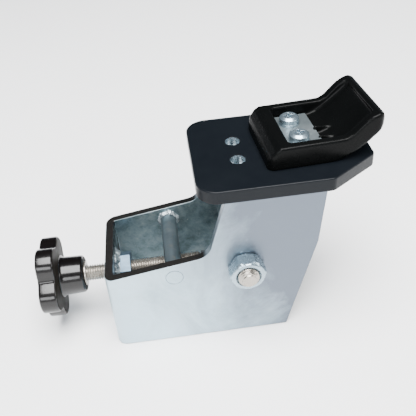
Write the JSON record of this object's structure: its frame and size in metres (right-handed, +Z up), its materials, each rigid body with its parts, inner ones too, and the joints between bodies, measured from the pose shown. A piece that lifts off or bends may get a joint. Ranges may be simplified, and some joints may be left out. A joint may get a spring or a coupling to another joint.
{
  "type": "sliding table edging stop",
  "caption": "Clamp-on stop for a saw's sliding table: folded bracket, hand screw and clamping lever under a flat plate that carries a moulded shoe with an upturned nose.",
  "frame": {"origin": "centre of the footprint of the whole part, on the plane of the bracket's bottom edges", "axes": "+X from the star knob towards the shoe's nose, +Y from the pivot bolt's nut to its head, +Z up"},
  "size_m": [0.199, 0.0834, 0.138],
  "materials": {
    "zinc_sheet": "bright zinc-plated sheet, satin",
    "zinc_rod": "zinc-plated, satin",
    "screw_zinc": "zinc-plated rolled thread",
    "nut_zinc": "zinc-plated, satin",
    "bolt_steel": "zinc-plated, bright",
    "weld_metal": "as-welded, plated over",
    "lever_steel": "machined, oiled",
    "brass_washer": "turned bronze",
    "jaw_rubber": "moulded, matt",
    "plate_black": "satin black, fine texture",
    "shoe_plastic": "moulded, glossy",
    "knob_plastic": "moulded, glossy"
  },
  "bodies": {
    "frame": {"clamp_bracket": "zinc_sheet", "cross_rod": "zinc_rod", "weld_nut": "zinc_rod", "nut_weld": "weld_metal", "rod_welds": "weld_metal", "pivot_bolt": "bolt_steel", "pivot_nut": "nut_zinc", "pivot_washer": "nut_zinc", "pivot_spacers": "zinc_rod", "thrust_washers": "brass_washer", "top_plate": "plate_black", "support_bar": "zinc_rod", "bar_welds": "weld_metal", "plate_screws": "bolt_steel", "plate_screw_washers": "nut_zinc", "shoe": "shoe_plastic", "shoe_clamp_plate": "nut_zinc", "shoe_screws": "bolt_steel", "shoe_spring_washers": "nut_zinc"},
    "lever": {"clamp_lever": "lever_steel", "lever_bush": "brass_washer", "jaw_pad": "jaw_rubber"},
    "pad": {"pressure_pad": "lever_steel"},
    "screw": {"clamp_screw": "screw_zinc", "spigot_clip": "lever_steel", "star_knob": "knob_plastic", "knob_insert": "screw_zinc"}
  },
  "joints": [
    {"name": "screw_travel", "type": "slide", "parent": "frame", "child": "pad", "axis": [1, 0, 0], "range_m": [-0.003, 0.0135]},
    {"name": "screw_spin", "type": "hinge", "parent": "pad", "child": "screw", "pos_m": [-0.05892, 0.00175, 0.036], "axis": [1, 0, 0], "range_deg": [-722, 3242]},
    {"name": "lever_turn", "type": "hinge", "parent": "frame", "child": "lever", "pos_m": [0.02258, 0.00175, 0.0535], "axis": [0, -1, 0], "range_deg": [-9.9, 44.3]}
  ],
  "couplings": [
    {"joint": "screw_spin", "follows": "screw_travel", "rad_per_m": 4188.8},
    {"joint": "lever_turn", "follows": "screw_travel", "rad_per_m": 57.143}
  ]
}
